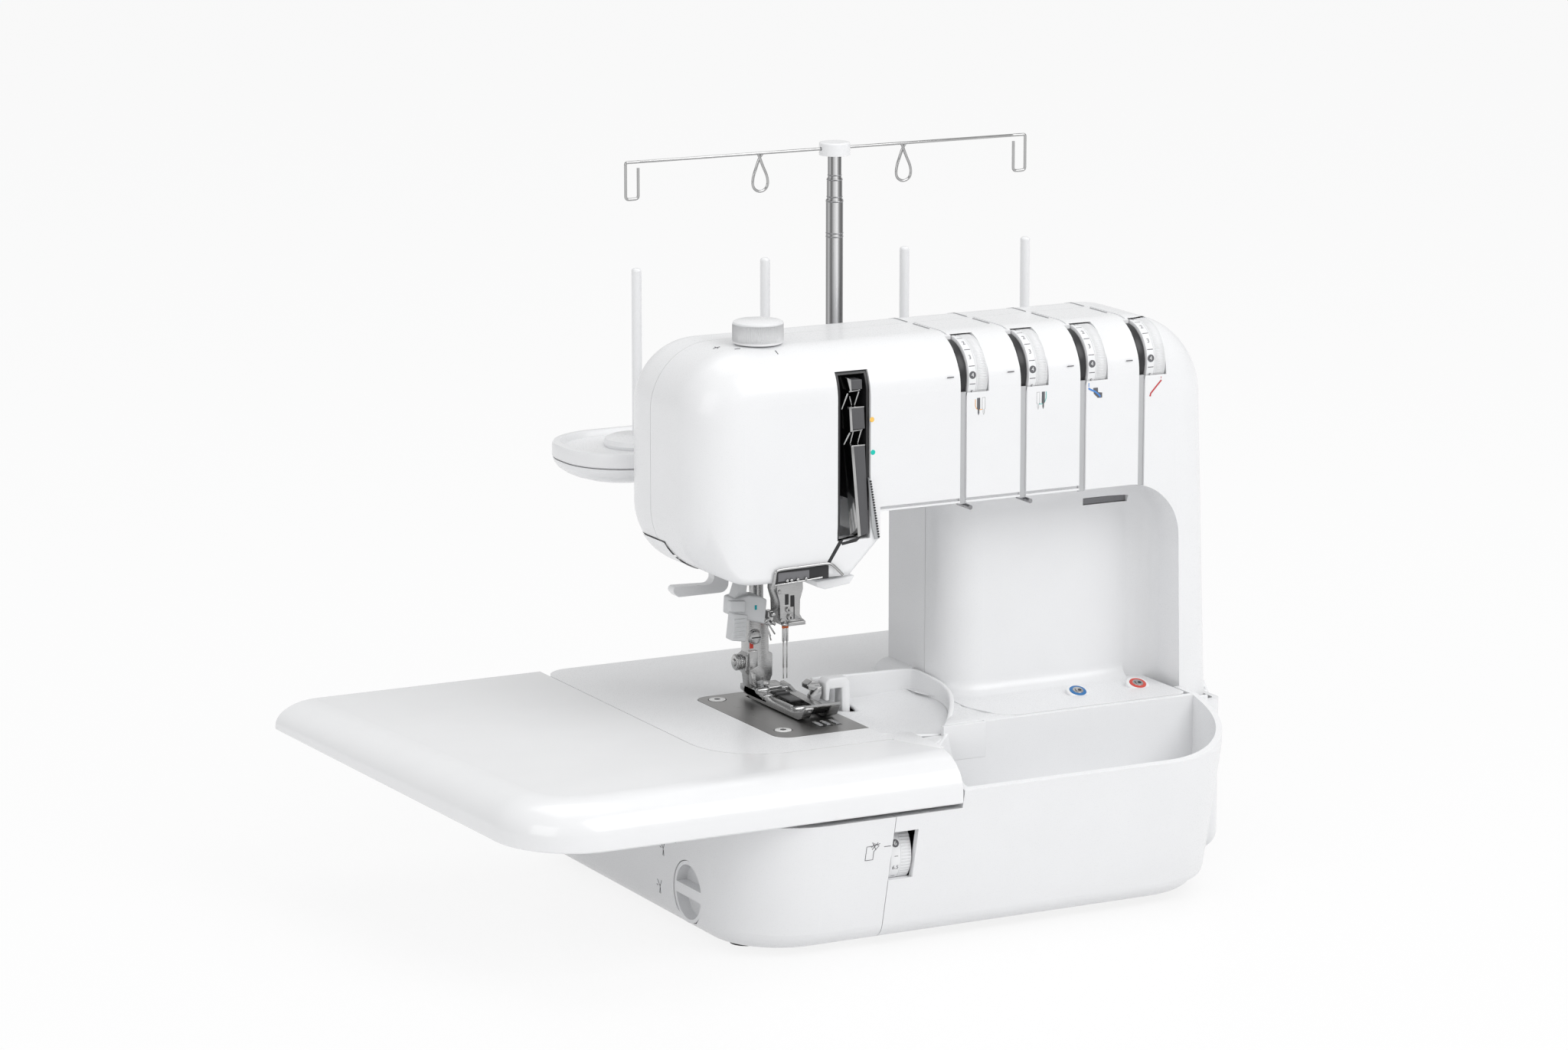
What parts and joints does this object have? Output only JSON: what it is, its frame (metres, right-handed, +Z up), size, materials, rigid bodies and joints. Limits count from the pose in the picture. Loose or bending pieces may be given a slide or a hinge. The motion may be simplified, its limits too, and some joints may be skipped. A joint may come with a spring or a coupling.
{
  "type": "serger overlock machine",
  "caption": "Overlock sewing machine with slide-on table, thread tension dials, looper cover bin, telescopic thread stand and spool tray",
  "frame": {"origin": "on the resting plane under the middle of the base", "axes": "+X to the right along the front, +Y to the back, +Z up"},
  "size_m": [0.5112, 0.285, 0.4035],
  "materials": {
    "white": "satin",
    "grey": "matte",
    "dark": "matte",
    "rubber": "matte",
    "steel": "brushed",
    "chrome": "polished",
    "cast": "cast"
  },
  "bodies": {
    "frame": {"base_housing": "white", "bed_cover": "white", "front_cover": "white", "rear_cover": "white", "spool_tray": "white", "spool_stand": "white", "thread_cutter": "white", "base_pan": "grey", "scrap_guard": "grey", "spool_pins": "grey", "lamp_lens": "grey", "take_up_guard": "dark", "power_inlet": "dark", "circuit_board": "dark", "looper_ports": "dark", "rubber_feet": "rubber", "timing_belt": "rubber", "motor_belt": "rubber", "needle_plate": "steel", "plate_screws": "steel", "tension_axle": "steel", "drive_motor": "steel", "lower_knife": "steel", "thread_guides": "chrome", "mast_lower": "chrome", "frame_casting": "cast"},
    "drive": {"main_shaft": "steel", "handwheel": "white"},
    "top_shaft": {"upper_shaft": "steel"},
    "motor_rotor": {"motor_pulley": "steel"},
    "needle_group": {"needle_bar": "steel", "needle_clamp": "steel", "needles": "steel"},
    "lower_looper": {"lower_looper": "steel"},
    "upper_looper": {"upper_looper": "steel"},
    "feed": {"feed_dogs": "steel"},
    "moving_knife": {"upper_knife": "steel"},
    "presser": {"presser_bar": "steel", "presser_spring": "steel", "presser_ankle": "steel"},
    "foot": {"presser_foot": "steel"},
    "lifter": {"foot_lifter": "white"},
    "threader": {"needle_threader": "white"},
    "dial_1": {"tension_dial_1": "white"},
    "dial_2": {"tension_dial_2": "white"},
    "dial_3": {"tension_dial_3": "white"},
    "dial_4": {"tension_dial_4": "white"},
    "width_dial": {"cutting_width_dial": "white"},
    "knife_knob": {"knife_knob": "white"},
    "pressure_knob": {"pressure_knob": "white"},
    "length_dial": {"stitch_length_dial": "white"},
    "ratio_dial": {"differential_dial": "white"},
    "switch": {"power_switch": "dark"},
    "thread_lever": {"thread_lever": "white"},
    "looper_cover": {"looper_cover": "white"},
    "table": {"slide_on_table": "white"},
    "mast_middle": {"mast_middle": "chrome"},
    "mast_upper": {"mast_upper": "chrome"},
    "thread_guide": {"guide_hub": "white", "guide_wire": "chrome"}
  },
  "joints": [
    {"name": "handwheel_turn", "type": "hinge", "parent": "frame", "child": "drive", "pos_m": [0.18, 0.016, 0.066], "axis": [1, 0, 0], "continuous": true},
    {"name": "upper_shaft_turn", "type": "hinge", "parent": "frame", "child": "top_shaft", "pos_m": [0.1, 0.014, 0.246], "axis": [1, 0, 0], "continuous": true},
    {"name": "motor_turn", "type": "hinge", "parent": "frame", "child": "motor_rotor", "pos_m": [0.1, 0.1, 0.042], "axis": [1, 0, 0], "continuous": true},
    {"name": "needle_stroke", "type": "slide", "parent": "frame", "child": "needle_group", "axis": [0, 0, 1], "range_m": [-0.027, 0]},
    {"name": "lower_looper_swing", "type": "hinge", "parent": "frame", "child": "lower_looper", "pos_m": [-0.052, 0.016, 0.04], "axis": [0, 1, 0], "range_deg": [0, 8]},
    {"name": "upper_looper_swing", "type": "hinge", "parent": "frame", "child": "upper_looper", "pos_m": [-0.03, 0.016, 0.04], "axis": [0, 1, 0], "range_deg": [0, 8]},
    {"name": "feed_travel", "type": "slide", "parent": "frame", "child": "feed", "axis": [0, 1, 0], "range_m": [0, 0.002]},
    {"name": "knife_stroke", "type": "slide", "parent": "frame", "child": "moving_knife", "axis": [0, 0, 1], "range_m": [-0.008, 0]},
    {"name": "lifter_turn", "type": "hinge", "parent": "frame", "child": "lifter", "pos_m": [-0.094, 0.05, 0.211], "axis": [0, 1, 0], "range_deg": [0, 35]},
    {"name": "presser_lift", "type": "slide", "parent": "frame", "child": "presser", "axis": [0, 0, 1], "range_m": [0, 0.007]},
    {"name": "foot_tilt", "type": "hinge", "parent": "presser", "child": "foot", "pos_m": [-0.083, 0.028, 0.114], "axis": [1, 0, 0], "range_deg": [-10, 0]},
    {"name": "threader_press", "type": "slide", "parent": "frame", "child": "threader", "axis": [0, 0, 1], "range_m": [-0.012, 0]},
    {"name": "tension_turn_1", "type": "hinge", "parent": "frame", "child": "dial_1", "pos_m": [0.0105, -0.03396, 0.29003], "axis": [1, 0, 0], "range_deg": [-120, 150]},
    {"name": "tension_turn_2", "type": "hinge", "parent": "frame", "child": "dial_2", "pos_m": [0.0482, -0.03396, 0.29003], "axis": [1, 0, 0], "range_deg": [-120, 150]},
    {"name": "tension_turn_3", "type": "hinge", "parent": "frame", "child": "dial_3", "pos_m": [0.0859, -0.03396, 0.29003], "axis": [1, 0, 0], "range_deg": [-120, 150]},
    {"name": "tension_turn_4", "type": "hinge", "parent": "frame", "child": "dial_4", "pos_m": [0.1236, -0.03396, 0.29003], "axis": [1, 0, 0], "range_deg": [-120, 150]},
    {"name": "cutting_width_turn", "type": "hinge", "parent": "frame", "child": "width_dial", "pos_m": [-0.079, -0.113, 0.052], "axis": [1, 0, 0], "range_deg": [-60, 60]},
    {"name": "knife_release_turn", "type": "hinge", "parent": "frame", "child": "knife_knob", "pos_m": [-0.165, -0.061, 0.026], "axis": [1, 0, 0], "range_deg": [0, 90]},
    {"name": "pressure_turn", "type": "hinge", "parent": "frame", "child": "pressure_knob", "pos_m": [-0.106, -0.019, 0.32], "axis": [0, 0, 1], "range_deg": [-180, 180]},
    {"name": "stitch_length_turn", "type": "hinge", "parent": "frame", "child": "length_dial", "pos_m": [0.175, 0.068, 0.074], "axis": [1, 0, 0], "range_deg": [-120, 120]},
    {"name": "differential_turn", "type": "hinge", "parent": "frame", "child": "ratio_dial", "pos_m": [0.175, 0.098, 0.074], "axis": [1, 0, 0], "range_deg": [-120, 120]},
    {"name": "switch_rock", "type": "hinge", "parent": "frame", "child": "switch", "pos_m": [0.1655, 0.06, 0.036], "axis": [0, 1, 0], "range_deg": [-6, 6]},
    {"name": "thread_lever_slide", "type": "slide", "parent": "frame", "child": "thread_lever", "axis": [0, 0, 1], "range_m": [-0.003, 0.003]},
    {"name": "looper_cover_open", "type": "hinge", "parent": "frame", "child": "looper_cover", "pos_m": [0.02, -0.1105, 0.016], "axis": [1, 0, 0], "range_deg": [0, 70]},
    {"name": "table_slide", "type": "slide", "parent": "frame", "child": "table", "axis": [-1, 0, 0], "range_m": [0, 0.2]},
    {"name": "mast_middle_slide", "type": "slide", "parent": "frame", "child": "mast_middle", "axis": [0, 0, 1], "range_m": [0, 0.07]},
    {"name": "mast_upper_slide", "type": "slide", "parent": "mast_middle", "child": "mast_upper", "axis": [0, 0, 1], "range_m": [0, 0.07]},
    {"name": "thread_guide_turn", "type": "hinge", "parent": "mast_upper", "child": "thread_guide", "pos_m": [-0.0035, 0.0855, 0.4], "axis": [0, 0, 1], "range_deg": [-90, 90]}
  ],
  "couplings": [
    {"joint": "upper_shaft_turn", "follows": "handwheel_turn", "ratio": 1},
    {"joint": "motor_turn", "follows": "handwheel_turn", "ratio": 4},
    {"joint": "lower_looper_swing", "follows": "needle_stroke", "rad_per_m": -5.1714},
    {"joint": "upper_looper_swing", "follows": "needle_stroke", "rad_per_m": -5.1714},
    {"joint": "feed_travel", "follows": "needle_stroke", "ratio": -0.074074},
    {"joint": "knife_stroke", "follows": "needle_stroke", "ratio": 0.2963},
    {"joint": "lifter_turn", "follows": "presser_lift", "rad_per_m": 87.266}
  ]
}
